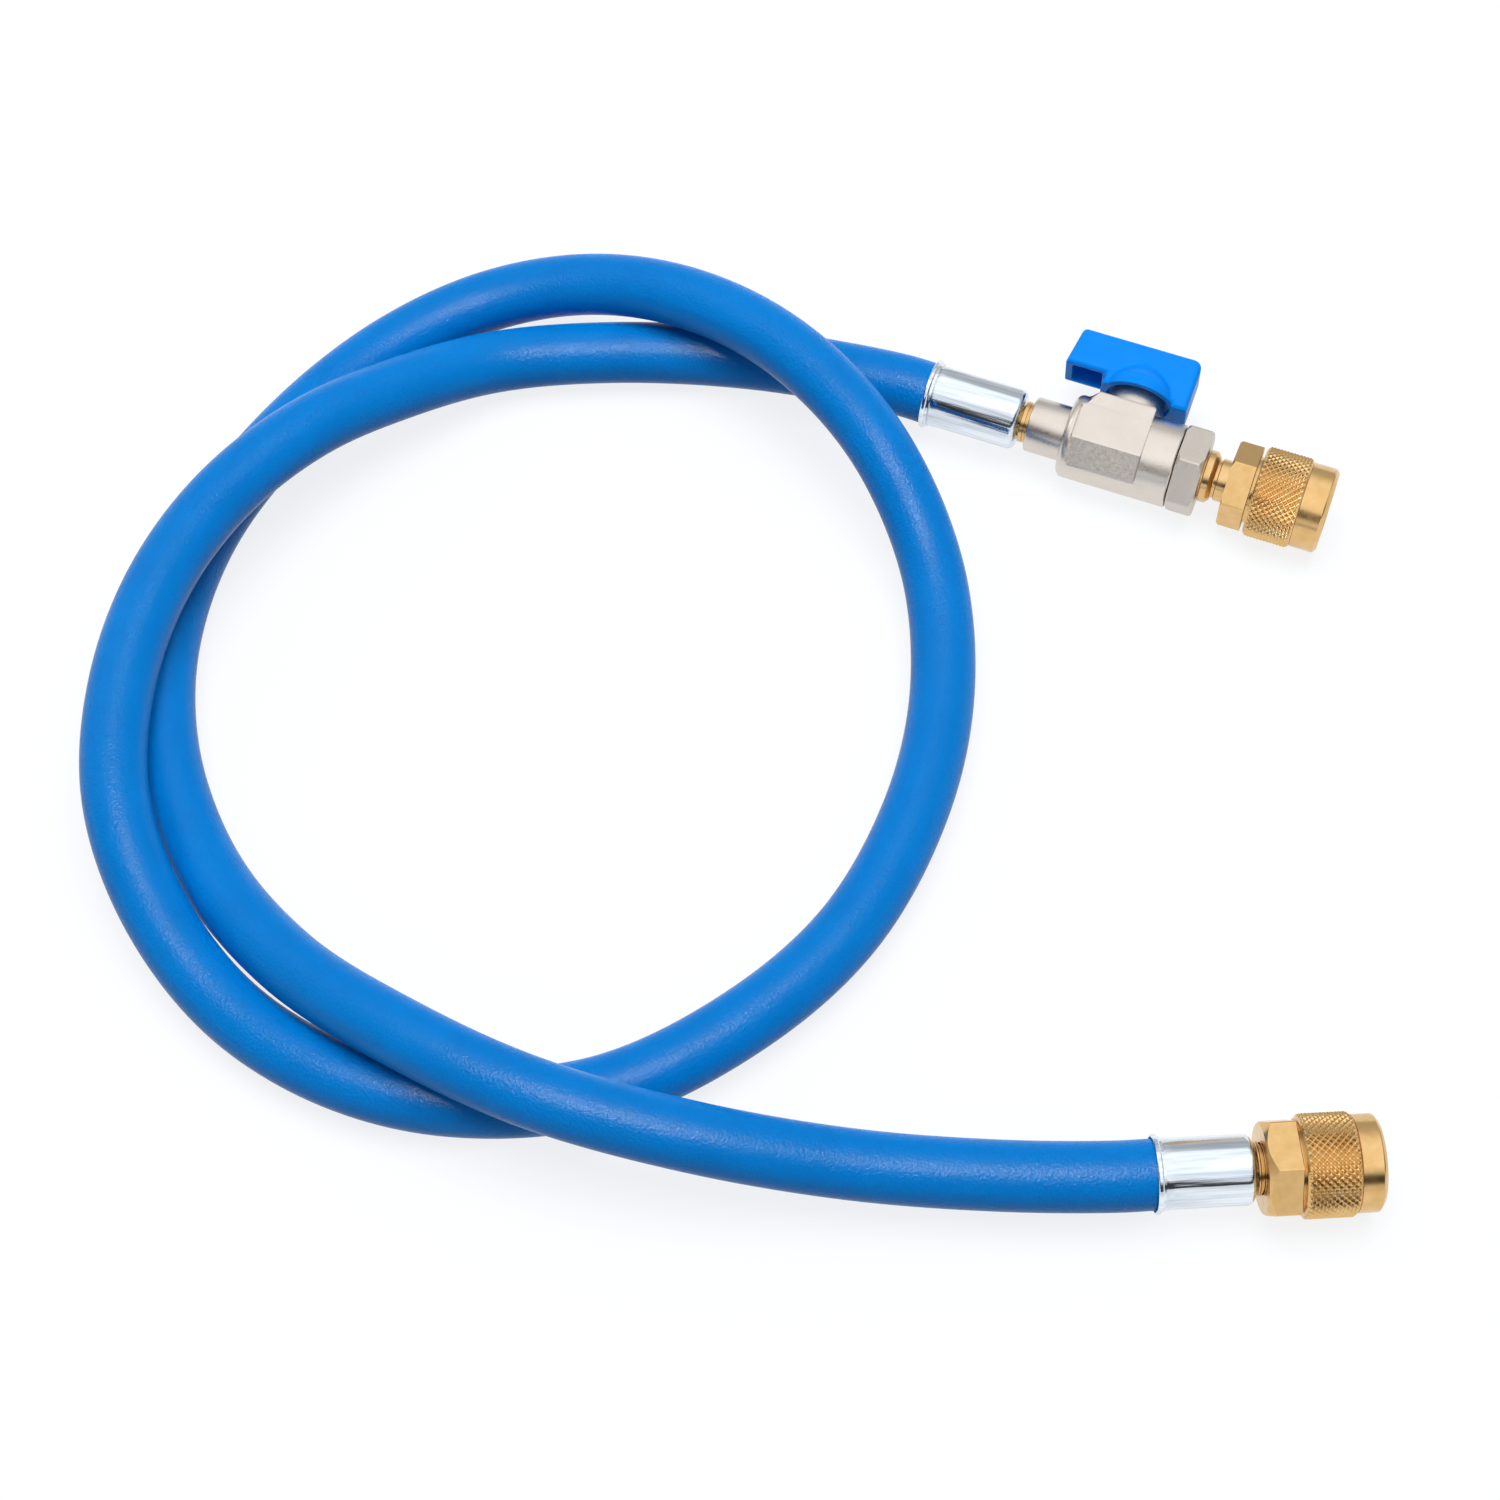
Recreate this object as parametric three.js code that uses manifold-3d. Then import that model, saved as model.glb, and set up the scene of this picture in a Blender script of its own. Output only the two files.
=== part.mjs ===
// Refrigerant charging hose: a length of braided rubber hose with a crimped swivel coupler at one end, and a
// quarter-turn ball valve with a second swivel coupler at the other. It lies in one loose turn on a level surface.
// Millimetres, +Z up. The hose lies to the left (-X) and the two fittings point to the right (+X).
import * as THREE from "three";
import { mergeVertices } from "three/addons/utils/BufferGeometryUtils.js";
import Module from "manifold-3d";

const wasm = await Module();
wasm.setup();

// Hose
const HOSE_DIAMETER = 12.5;
const HOSE_BORE = 6.4; // where the tailpieces push in
const HOSE_SIDES = 12;
const HOSE_STEPS = 80;

// Fits
const GAP = 0.3; // between parts that touch

// Crimp ferrules
const RIM_DIAMETER = 14.0;
const RIM_LENGTH = 1.6;
const FERRULE_DIAMETER = 12.6;
const FERRULE_BORE = 11.0; // after crimping
const FERRULE_END_WALL = 2.0;
const FERRULE_SHOULDER = 1.6; // radius of the rounded end
const VALVE_FERRULE_LENGTH = 19.6;
const HOSE_FERRULE_LENGTH = 17.4;

// Tailpieces, the turned brass pieces that the ferrules are crimped on
const TAIL_DIAMETER = 5.8;
const FLOW_BORE = 3.8; // through tailpieces, ball and outlet
const TAIL_START = 4.5; // from the ferrule's mouth

// Ball valve, measured along its axis from the mouth of its ferrule
const VALVE_NECK_DIAMETER = 8.4;
const VALVE_START = 21.6;
const REAR_DIAMETER = 11.2;
const REAR_LENGTH = 7.6;
const BODY_SHOULDER = 1.4;
const BODY_DIAMETER = 17.0;
const BODY_LENGTH = 22.8; // with its shoulder
const FLATS_START = 1.8; // from the shoulder's start
const FLATS_LENGTH = 14.2;
const FLATS_ACROSS = 15.0;
const SLANT_FLAT = 7.8; // of the one flat at 45 degrees, from the axis
const BLOCK_HEIGHT = 7.6; // valve axis to the block's top
const STEM_FROM_SHOULDER = 11.2;
const BONNET_DIAMETER = 11.4;
const BONNET_TOP = 12.2; // from the valve axis
const SOCKET_DEPTH = 4.0; // of the rear threaded socket
const BALL_DIAMETER = 10.0;
const CHAMBER_DIAMETER = 11.0;
const SEAT_BORE = 6.8;
const SEAT_LENGTH = 1.1;
const CAP_ACROSS_FLATS = 16.2;
const CAP_LENGTH = 5.3;
const CAP_ROLL = 15; // degrees, where its thread stopped
const CAP_SPIGOT_BORE = 6.0;
const CAP_SOCKET_DEPTH = 4.6; // of the front threaded socket
const STEM_DIAMETER = 4.8;
const STEM_COLLAR_DIAMETER = 6.8;
const STEM_COLLAR_LENGTH = 1.2;
const STEM_TOP = 18.0; // from the valve axis
const DRIVE_START = 12.8; // where the stem gets two flats that turn it with the lever
const DRIVE_ACROSS = 3.6;
const TANG_WIDTH = 1.8;
const TANG_DEPTH = 1.3; // in the slot of the ball

// Lever handle, measured from the stem's axis and from the valve axis
const LEVER_LONG_END = 15.0;
const LEVER_SHORT_END = 10.6;
const LEVER_WIDTH = 9.0;
const LEVER_TOP = 21.5;
const PADDLE_BOTTOM = 13.5;
const HUB_BOTTOM = 11.2;
const HUB_DIAMETER = 16.4;
const SKIRT_BORE = 13.0;
const END_BOTTOM = 10.3; // of the short end
const LEVER_WALL = 1.3;
const LEVER_SLANT = 1.3;
const LEVER_CORNER = 1.8;
const LEVER_EDGE = 0.8; // bevel round both sides

// Outlet stem of the valve
const COLLAR_DIAMETER = 10.6;
const COLLAR_LENGTH = 2.3;
const COLLAR_TAPER = 0.9;
const GROOVE_LENGTH = 0.6;
const GROOVE_DIAMETER = 7.8;
const OUTLET_NECK_DIAMETER = 8.6;
const OUTLET_NECK_LENGTH = 2.1; // from the groove to the coupler's back face

// Swivel couplers: two nuts of the same thread, from different bars
const COUPLER_THREAD = 11.0; // 7/16 inch flare thread, as a plain bore
const COUPLER_BACK_WALL = 4.4;
const COUPLER_GROOVE = 0.6;
const COUPLER_GROOVE_DEPTH = 0.8;
const KNURL_DIAMETER = 18.4;
const KNURL_BEVEL = 0.7;
const RING_DIAMETER = 17.2;
const RING_BEVEL = 0.8;
const MOUTH_BEVEL = 0.7;
const OUTLET_COUPLER = { across: 15.1, hex: 4.9, knurl: 9.6, ring: 5.3, chamfer: 0.5, roll: 56 };
const HOSE_COUPLER = { across: 16.2, hex: 5.9, knurl: 9.6, ring: 4.4, chamfer: 1.5, roll: 24 };
const FLANGE_DIAMETER = 10.2; // stem head that the coupler pulls on
const FLANGE_LENGTH = 3.4;
const GASKET_BORE = 6.4;
const GASKET_LENGTH = 2.0;
const PIN_DIAMETER = 1.6;
const PIN_LENGTH = 4.6;
const PIN_BAR = 0.8; // thickness of the bar that carries the pin

// Tailpiece of the hose end
const RIDGE_NECK_DIAMETER = 9.6;
const RIDGE_NECK_LENGTH = 1.2; // from the ferrule to the coupler's back face

// Where the fittings lie: the mouth of each ferrule, and the way it points
const AXIS_HEIGHT = KNURL_DIAMETER / 2; // both assemblies rest on their knurls
const VALVE_MOUTH = [-39.19, 83.08];
const VALVE_TURN = -20.5; // degrees about +Z
const VALVE_ROLL = 11; // degrees that the stem rises above level
const HOSE_END_MOUTH = [-5.59, -85.82];
const HOSE_END_TURN = 3.3;

// The hose's free route between the two ferrules, chosen by eye along its middle line
const ROUTE = [
  [-74, 93.5, 6.8],
  [-103, 95.5, 6.6],
  [-127.5, 92.5, 7.4],
  [-146.5, 81, 13.4],
  [-163, 67.5, 18.4],
  [-178, 50.5, 19.9],
  [-188.5, 30, 19.8],
  [-193.5, 7.5, 18],
  [-192.5, -14.5, 15.4],
  [-184.5, -34.5, 10.8],
  [-170, -52.5, 7],
  [-151, -65, 6.6],
  [-129, -71, 6.6],
  [-102.5, -69, 6.6],
  [-77.5, -56, 6.6],
  [-57.5, -37, 6.6],
  [-44, -10.5, 6.6],
  [-38.5, 16.5, 6.7],
  [-40.5, 42, 10.4],
  [-51, 64, 19.4],
  [-68, 84.5, 22],
  [-88, 99.5, 19.2],
  [-109, 107.5, 13.8],
  [-130, 107, 8.8],
  [-150, 96.5, 6.7],
  [-169, 76, 6.6],
  [-183, 51, 6.6],
  [-188.5, 24.5, 6.6],
  [-186, -0.5, 6.6],
  [-176, -24.5, 7],
  [-159, -46, 12],
  [-137.5, -62.5, 17.9],
  [-114, -74.5, 19.2],
  [-86.5, -81.5, 16.2],
  [-58.5, -84.5, 10.8],
  [-32.5, -86, 9.2],
];
const STRAIGHT = 7; // the hose leaves each ferrule straight for this length
const HOSE_INSET = 1.1; // its full width reaches this far into each ferrule's mouth

const SEGMENTS = 32;
const DEGREE = Math.PI / 180;

// A three.js geometry as a manifold-3d solid, and back.
function solid(geometry) {
  const bare = geometry.clone();
  bare.deleteAttribute("normal");
  bare.deleteAttribute("uv");
  const merged = mergeVertices(bare, 1e-4);
  const mesh = new wasm.Mesh({
    numProp: 3,
    vertProperties: new Float32Array(merged.attributes.position.array),
    triVerts: new Uint32Array(merged.index.array),
  });
  return new wasm.Manifold(mesh);
}

function geometryOf(made) {
  const mesh = made.getMesh();
  const geometry = new THREE.BufferGeometry();
  geometry.setAttribute("position", new THREE.BufferAttribute(mesh.vertProperties, 3));
  geometry.setIndex(new THREE.BufferAttribute(mesh.triVerts, 1));
  geometry.computeVertexNormals();
  return geometry;
}

// A solid turned about the X axis, from [x, radius] points that run up its outside and back down its bore.
function turned(points) {
  const profile = points.map(([x, radius]) => new THREE.Vector2(radius, x));
  const closed = points[0][1] > 0;
  if (closed) profile.push(profile[0].clone());
  return solid(new THREE.LatheGeometry(profile, SEGMENTS).rotateZ(-90 * DEGREE));
}

function rod(from, to, radius) {
  return turned([[from, 0], [from, radius], [to, radius], [to, 0]]);
}

// The same about the Y axis, which is the valve stem's.
function upright(points) {
  return solid(new THREE.LatheGeometry(points.map(([y, radius]) => new THREE.Vector2(radius, y)), SEGMENTS));
}

function post(from, to, radius) {
  return upright([[from, 0], [from, radius], [to, radius], [to, 0]]);
}

function box(x, y, z) {
  const geometry = new THREE.BoxGeometry(x[1] - x[0], y[1] - y[0], z[1] - z[0]);
  return solid(geometry.translate((x[0] + x[1]) / 2, (y[0] + y[1]) / 2, (z[0] + z[1]) / 2));
}

// A hexagon bar along X, one corner turned by roll from +Z towards -Y.
function hexagon(from, to, across, roll) {
  const radius = across / 2 / Math.cos(30 * DEGREE);
  const geometry = new THREE.CylinderGeometry(radius, radius, to - from, 6);
  geometry.rotateZ(-90 * DEGREE).rotateX(roll * DEGREE);
  return solid(geometry.translate((from + to) / 2, 0, 0));
}

const corner = (across) => across / 2 / Math.cos(30 * DEGREE);

// The frame of each fitting: X out along its axis from the ferrule's mouth, Y the valve stem's way, Z up.
function fitting(mouth, turn, roll) {
  const frame = new THREE.Group();
  frame.position.set(mouth[0], mouth[1], AXIS_HEIGHT);
  frame.rotation.order = "ZYX";
  frame.rotation.set(roll * DEGREE, 0, turn * DEGREE);
  frame.updateMatrix();
  return frame;
}

const part = new THREE.Group();
const valveEnd = fitting(VALVE_MOUTH, VALVE_TURN, VALVE_ROLL);
const hoseEnd = fitting(HOSE_END_MOUTH, HOSE_END_TURN, 0);
part.add(valveEnd, hoseEnd);

const RUBBER = { color: "#0070c4", roughness: 0.6, metalness: 0 };
const ZINC = { color: "#c9cfd4", roughness: 0.25, metalness: 1 };
const BRASS = { color: "#c99a4b", roughness: 0.28, metalness: 1 };
const NICKEL = { color: "#b9b2a8", roughness: 0.4, metalness: 1 };
const PLASTIC = { color: "#0a84e8", roughness: 0.4, metalness: 0 };
const SEAT = { color: "#f0efe8", roughness: 0.5, metalness: 0 };
const SEAL = { color: "#1c1c1c", roughness: 0.7, metalness: 0 };

function piece(parent, name, shape, look) {
  const mesh = new THREE.Mesh(geometryOf(shape), new THREE.MeshStandardMaterial(look));
  mesh.name = name;
  parent.add(mesh);
}

// Crimp ferrules: a sleeve with a rolled rim at its mouth and an end wall that the tailpiece comes through.
const hoseRadius = HOSE_DIAMETER / 2;
const tailRadius = TAIL_DIAMETER / 2;
const flowRadius = FLOW_BORE / 2;

function ferrule(length) {
  const rim = RIM_DIAMETER / 2;
  const outer = FERRULE_DIAMETER / 2;
  const bore = FERRULE_BORE / 2;
  const mouth = hoseRadius + GAP;
  const depth = HOSE_INSET + GAP;
  const hole = tailRadius + GAP;
  const points = [[0, mouth], [0, rim - 0.2], [0.2, rim], [RIM_LENGTH - 0.2, rim], [RIM_LENGTH, rim - 0.2]];
  points.push([RIM_LENGTH + 0.2, outer]);
  for (let i = 0; i <= 4; i += 1) {
    const angle = i * 22.5 * DEGREE;
    const drop = FERRULE_SHOULDER * (1 - Math.cos(angle));
    points.push([length - FERRULE_SHOULDER * (1 - Math.sin(angle)), outer - drop]);
  }
  points.push([length, hole], [length - FERRULE_END_WALL, hole], [length - FERRULE_END_WALL, bore]);
  points.push([depth, bore], [depth, mouth]);
  return turned(points);
}

piece(valveEnd, "valve_end_ferrule", ferrule(VALVE_FERRULE_LENGTH), ZINC);
piece(hoseEnd, "hose_end_ferrule", ferrule(HOSE_FERRULE_LENGTH), ZINC);

// Swivel couplers. Each is held on its stem's head, turns freely on it, and screws on a flare thread.
const headRadius = FLANGE_DIAMETER / 2;
const neckRadius = OUTLET_NECK_DIAMETER / 2;

function couplerLength(size) {
  return size.hex + COUPLER_GROOVE + size.knurl + size.ring;
}

function coupler(back, size) {
  const widest = corner(size.across);
  const hexEnd = back + size.hex;
  const knurlStart = hexEnd + COUPLER_GROOVE;
  const knurlEnd = knurlStart + size.knurl;
  const front = knurlEnd + size.ring;
  const knurl = KNURL_DIAMETER / 2;
  const ring = RING_DIAMETER / 2;
  const groove = size.across / 2 - COUPLER_GROOVE_DEPTH;
  const thread = COUPLER_THREAD / 2;
  const seat = back + COUPLER_BACK_WALL;
  const blank = turned([
    [back, 0],
    [back, widest - size.chamfer],
    [back + size.chamfer, widest],
    [hexEnd, widest],
    [hexEnd + 0.01, 0],
  ]);
  const barrel = turned([
    [back + 1, 0],
    [back + 1, groove],
    [knurlStart, groove],
    [knurlStart, knurl - KNURL_BEVEL],
    [knurlStart + KNURL_BEVEL, knurl],
    [knurlEnd - KNURL_BEVEL, knurl],
    [knurlEnd, ring],
    [front - RING_BEVEL, ring],
    [front, ring - RING_BEVEL],
    [front, 0],
  ]);
  const bore = turned([
    [back - 1, 0],
    [back - 1, neckRadius + GAP],
    [seat, neckRadius + GAP],
    [seat, thread],
    [front - MOUTH_BEVEL, thread],
    [front + 1, thread + MOUTH_BEVEL + 1],
    [front + 1, 0],
  ]);
  const head = hexagon(back, hexEnd, size.across, size.roll).intersect(blank);
  return head.add(barrel).subtract(bore);
}

// What each coupler holds: the head of its stem, the gasket in front of it, and in one the pin that opens a valve core.
function head(back) {
  const start = back + COUPLER_BACK_WALL + GAP;
  return rod(start, start + FLANGE_LENGTH, headRadius);
}

function headFace(back) {
  return back + COUPLER_BACK_WALL + GAP + FLANGE_LENGTH;
}

function gasket(back) {
  const start = headFace(back) + GAP;
  const inner = GASKET_BORE / 2;
  const outer = COUPLER_THREAD / 2 - GAP;
  const end = start + GASKET_LENGTH;
  return turned([[start, inner], [start, outer], [end, outer], [end, inner]]);
}

function depressor(back) {
  const start = headFace(back) + GAP;
  const bar = GASKET_BORE / 2 - GAP;
  const disc = rod(start, start + PIN_BAR, bar);
  const half = PIN_DIAMETER * 0.75;
  const strip = disc.intersect(box([start - 1, start + PIN_BAR + 1], [-bar - 1, bar + 1], [-half, half]));
  return strip.add(rod(start + PIN_BAR / 2, start + PIN_BAR + PIN_LENGTH, PIN_DIAMETER / 2));
}

// Ball valve. Along X from the ferrule's mouth: rear socket, chamber with the ball between two seats, and cap.
const ballRadius = BALL_DIAMETER / 2;
const chamberRadius = CHAMBER_DIAMETER / 2;
const bodyRadius = BODY_DIAMETER / 2;
const shoulder = VALVE_START + REAR_LENGTH;
const bodyEnd = shoulder + BODY_LENGTH;
const stemAt = shoulder + STEM_FROM_SHOULDER;
const seatFrom = Math.sqrt((ballRadius + GAP) ** 2 - (SEAT_BORE / 2) ** 2);
const chamberHalf = seatFrom + SEAT_LENGTH + GAP;
const capStart = bodyEnd + GAP;
const capEnd = capStart + CAP_LENGTH;
const tangBottom = ballRadius - TANG_DEPTH;
const collarBottom = chamberRadius + 0.1;
const collarTop = collarBottom + STEM_COLLAR_LENGTH;
const stemRadius = STEM_DIAMETER / 2;

function valveBody() {
  const rear = REAR_DIAMETER / 2;
  const flat = FLATS_ACROSS / 2;
  const flatsFrom = shoulder + FLATS_START;
  const flatsTo = flatsFrom + FLATS_LENGTH;
  const points = [[VALVE_START, 0], [VALVE_START, rear - 0.5], [VALVE_START + 0.5, rear], [shoulder, rear]];
  for (let i = 0; i <= 4; i += 1) {
    const angle = i * 22.5 * DEGREE;
    const x = shoulder + BODY_SHOULDER * (1 - Math.cos(angle));
    points.push([x, bodyRadius - BODY_SHOULDER * (1 - Math.sin(angle))]);
  }
  points.push([bodyEnd, bodyRadius], [bodyEnd, 0]);
  let shape = turned(points);
  for (const [side, away] of [[0, flat], [45, SLANT_FLAT], [180, flat]]) {
    const slab = new THREE.BoxGeometry(flatsTo - flatsFrom, 3 * bodyRadius, bodyRadius);
    slab.translate((flatsFrom + flatsTo) / 2, 0, away + bodyRadius / 2);
    shape = shape.subtract(solid(slab.rotateX(side * DEGREE)));
  }
  shape = shape.add(box([flatsFrom, flatsTo], [0, BLOCK_HEIGHT], [-flat, flat]));
  const bonnet = BONNET_DIAMETER / 2;
  const bonnetPoints = [[0, 0], [0, bonnet], [BONNET_TOP - 0.4, bonnet], [BONNET_TOP, bonnet - 0.4], [BONNET_TOP, 0]];
  shape = shape.add(upright(bonnetPoints).translate([stemAt, 0, 0]));
  shape = shape.subtract(rod(VALVE_START - 1, VALVE_START + SOCKET_DEPTH, VALVE_NECK_DIAMETER / 2 + GAP));
  shape = shape.subtract(rod(VALVE_START, stemAt, flowRadius));
  shape = shape.subtract(rod(stemAt - chamberHalf, bodyEnd + 1, chamberRadius));
  return shape;
}

function throughStem(shape) {
  const hole = upright([
    [0, 0],
    [0, STEM_COLLAR_DIAMETER / 2 + GAP],
    [collarTop + GAP, STEM_COLLAR_DIAMETER / 2 + GAP],
    [collarTop + GAP, stemRadius + GAP],
    [BONNET_TOP + 1, stemRadius + GAP],
    [BONNET_TOP + 1, 0],
  ]);
  return shape.subtract(hole.translate([stemAt, 0, 0]));
}

function cap() {
  const widest = corner(CAP_ACROSS_FLATS);
  const blank = turned([
    [capStart, 0],
    [capStart, widest - 0.5],
    [capStart + 0.5, widest],
    [capEnd - 0.5, widest],
    [capEnd, widest - 0.5],
    [capEnd, 0],
  ]);
  const nut = hexagon(capStart, capEnd, CAP_ACROSS_FLATS, CAP_ROLL).intersect(blank);
  const spigot = rod(stemAt + chamberHalf, capStart + 1, chamberRadius - GAP);
  const bore = rod(stemAt, capEnd, CAP_SPIGOT_BORE / 2);
  const socket = rod(capEnd - CAP_SOCKET_DEPTH, capEnd + 1, neckRadius + GAP);
  return nut.add(spigot).subtract(bore).subtract(socket);
}

function seatRing(side) {
  const near = stemAt + side * seatFrom;
  const far = near + side * SEAT_LENGTH;
  const inner = SEAT_BORE / 2;
  const outer = chamberRadius - GAP;
  const from = Math.min(near, far);
  const to = Math.max(near, far);
  return turned([[from, inner], [from, outer], [to, outer], [to, inner]]);
}

function ball() {
  const whole = solid(new THREE.SphereGeometry(ballRadius, SEGMENTS, SEGMENTS / 2).translate(stemAt, 0, 0));
  const slot = TANG_WIDTH / 2 + GAP;
  const cut = box([stemAt - slot, stemAt + slot], [tangBottom - GAP, ballRadius + 1], [-ballRadius, ballRadius]);
  return whole.subtract(rod(stemAt - ballRadius - 1, stemAt + ballRadius + 1, flowRadius)).subtract(cut);
}

function stem() {
  const shank = upright([
    [ballRadius + 0.1, 0],
    [ballRadius + 0.1, stemRadius],
    [collarBottom, stemRadius],
    [collarBottom, STEM_COLLAR_DIAMETER / 2],
    [collarTop, STEM_COLLAR_DIAMETER / 2],
    [collarTop, stemRadius],
    [STEM_TOP - 0.3, stemRadius],
    [STEM_TOP, stemRadius - 0.3],
    [STEM_TOP, 0],
  ]);
  const tang = post(tangBottom, ballRadius + 1, stemRadius - 0.2);
  const half = TANG_WIDTH / 2;
  const strip = tang.intersect(box([-half, half], [tangBottom - 1, ballRadius + 2], [-stemRadius, stemRadius]));
  const flats = DRIVE_ACROSS / 2;
  let shape = shank.add(strip);
  for (const side of [-1, 1]) {
    const x = [side * flats, side * (stemRadius + 1)].sort((a, b) => a - b);
    shape = shape.subtract(box(x, [DRIVE_START, STEM_TOP + 1], [-stemRadius - 1, stemRadius + 1]));
  }
  return shape.translate([stemAt, 0, 0]);
}

// The lever: a paddle over the hose side, hollow from below, a hub with a skirt round the bonnet, and a short end.
function lever() {
  const step = HUB_DIAMETER / 2;
  const inner = SKIRT_BORE / 2 + 0.4;
  const outline = new THREE.Shape();
  outline.moveTo(-LEVER_LONG_END, PADDLE_BOTTOM);
  outline.lineTo(-step + 0.6, PADDLE_BOTTOM);
  outline.lineTo(-step + 0.6, HUB_BOTTOM);
  outline.lineTo(inner, HUB_BOTTOM);
  outline.lineTo(inner, END_BOTTOM);
  outline.lineTo(LEVER_SHORT_END, END_BOTTOM);
  outline.lineTo(LEVER_SHORT_END, LEVER_TOP - LEVER_CORNER);
  outline.quadraticCurveTo(LEVER_SHORT_END, LEVER_TOP, LEVER_SHORT_END - LEVER_CORNER, LEVER_TOP);
  outline.lineTo(-LEVER_LONG_END + LEVER_SLANT + 0.7, LEVER_TOP);
  outline.lineTo(-LEVER_LONG_END + LEVER_SLANT - 0.1, LEVER_TOP - 0.8);
  const block = new THREE.ExtrudeGeometry(outline, {
    depth: LEVER_WIDTH - 2 * LEVER_EDGE,
    bevelThickness: LEVER_EDGE,
    bevelSize: LEVER_EDGE,
    bevelOffset: -LEVER_EDGE,
    bevelSegments: 1,
    curveSegments: 4,
  });
  block.translate(0, 0, -LEVER_WIDTH / 2 + LEVER_EDGE);
  let shape = solid(block);
  const hubTop = LEVER_TOP - LEVER_CORNER;
  const hub = [[HUB_BOTTOM, 0], [HUB_BOTTOM, step], [hubTop - 3, step], [hubTop, LEVER_WIDTH / 2 - 0.5], [hubTop, 0]];
  shape = shape.add(upright(hub));
  shape = shape.subtract(post(END_BOTTOM - 1, BONNET_TOP + GAP, SKIRT_BORE / 2));
  const flats = DRIVE_ACROSS / 2 + GAP;
  const round = post(BONNET_TOP - 1, STEM_TOP + GAP, stemRadius + GAP);
  const relief = post(BONNET_TOP - 1, DRIVE_START + GAP, stemRadius + GAP);
  const keyed = round.intersect(box([-flats, flats], [0, LEVER_TOP], [-stemRadius - 1, stemRadius + 1]));
  shape = shape.subtract(keyed).subtract(relief);
  const pocket = new THREE.Shape();
  pocket.moveTo(-LEVER_LONG_END + LEVER_WALL, PADDLE_BOTTOM - 1);
  pocket.lineTo(-step - 0.1, PADDLE_BOTTOM - 1);
  pocket.lineTo(-step - 0.1, LEVER_TOP - LEVER_WALL);
  pocket.lineTo(-LEVER_LONG_END + LEVER_SLANT + LEVER_WALL, LEVER_TOP - LEVER_WALL);
  const core = new THREE.ExtrudeGeometry(pocket, { depth: LEVER_WIDTH - 2 * LEVER_WALL, bevelEnabled: false });
  core.translate(0, 0, -LEVER_WIDTH / 2 + LEVER_WALL);
  return shape.subtract(solid(core)).translate([stemAt, 0, 0]);
}

piece(valveEnd, "valve_body", throughStem(valveBody()), NICKEL);
piece(valveEnd, "valve_cap", cap(), NICKEL);
piece(valveEnd, "valve_rear_seat", seatRing(-1), SEAT);
piece(valveEnd, "valve_front_seat", seatRing(1), SEAT);
piece(valveEnd, "valve_ball", ball(), ZINC);
piece(valveEnd, "valve_stem", stem(), BRASS);
piece(valveEnd, "valve_handle", lever(), PLASTIC);

// Tailpieces and the outlet stem: turned brass with a bore right through.
const bored = (shape, from, to) => shape.subtract(rod(from - 1, to + 1, flowRadius));

const valveNeckFrom = VALVE_FERRULE_LENGTH + GAP;
const valveNeckTo = VALVE_START + SOCKET_DEPTH - GAP;
const valveTail = turned([
  [TAIL_START, 0],
  [TAIL_START, tailRadius - 0.4],
  [TAIL_START + 0.6, tailRadius],
  [valveNeckFrom, tailRadius],
  [valveNeckFrom, VALVE_NECK_DIAMETER / 2],
  [valveNeckTo, VALVE_NECK_DIAMETER / 2],
  [valveNeckTo, 0],
]);
piece(valveEnd, "valve_end_tailpiece", bored(valveTail, TAIL_START, valveNeckTo), BRASS);

const hoseCouplerBack = HOSE_FERRULE_LENGTH + GAP + RIDGE_NECK_LENGTH;
const ridgeFrom = HOSE_FERRULE_LENGTH + GAP;
const ridgeTo = hoseCouplerBack - GAP;
const hoseTail = turned([
  [TAIL_START, 0],
  [TAIL_START, tailRadius - 0.4],
  [TAIL_START + 0.6, tailRadius],
  [ridgeFrom, tailRadius],
  [ridgeFrom, RIDGE_NECK_DIAMETER / 2],
  [ridgeTo, RIDGE_NECK_DIAMETER / 2],
  [ridgeTo, neckRadius],
  [headFace(hoseCouplerBack) - 1, neckRadius],
  [headFace(hoseCouplerBack) - 1, 0],
]).add(head(hoseCouplerBack));
piece(hoseEnd, "hose_end_tailpiece", bored(hoseTail, TAIL_START, headFace(hoseCouplerBack)), BRASS);

const collarFrom = capEnd + GAP;
const collarTo = collarFrom + COLLAR_LENGTH;
const grooveTo = collarTo + GROOVE_LENGTH;
const outletBack = grooveTo + OUTLET_NECK_LENGTH;
const spigotFrom = capEnd - CAP_SOCKET_DEPTH + GAP;
const outletStem = turned([
  [spigotFrom, 0],
  [spigotFrom, neckRadius],
  [collarFrom, neckRadius],
  [collarFrom, COLLAR_DIAMETER / 2],
  [collarTo - COLLAR_TAPER, COLLAR_DIAMETER / 2],
  [collarTo, COLLAR_DIAMETER / 2 - COLLAR_TAPER],
  [collarTo, GROOVE_DIAMETER / 2],
  [grooveTo, GROOVE_DIAMETER / 2],
  [grooveTo, neckRadius],
  [headFace(outletBack) - 1, neckRadius],
  [headFace(outletBack) - 1, 0],
]).add(head(outletBack));
piece(valveEnd, "outlet_stem", bored(outletStem, spigotFrom, headFace(outletBack)), BRASS);

piece(valveEnd, "outlet_coupler", coupler(outletBack, OUTLET_COUPLER), BRASS);
piece(valveEnd, "outlet_gasket", gasket(outletBack), SEAL);
piece(valveEnd, "outlet_core_depressor", depressor(outletBack), BRASS);
piece(hoseEnd, "hose_end_coupler", coupler(hoseCouplerBack, HOSE_COUPLER), BRASS);
piece(hoseEnd, "hose_end_gasket", gasket(hoseCouplerBack), SEAL);

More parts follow.
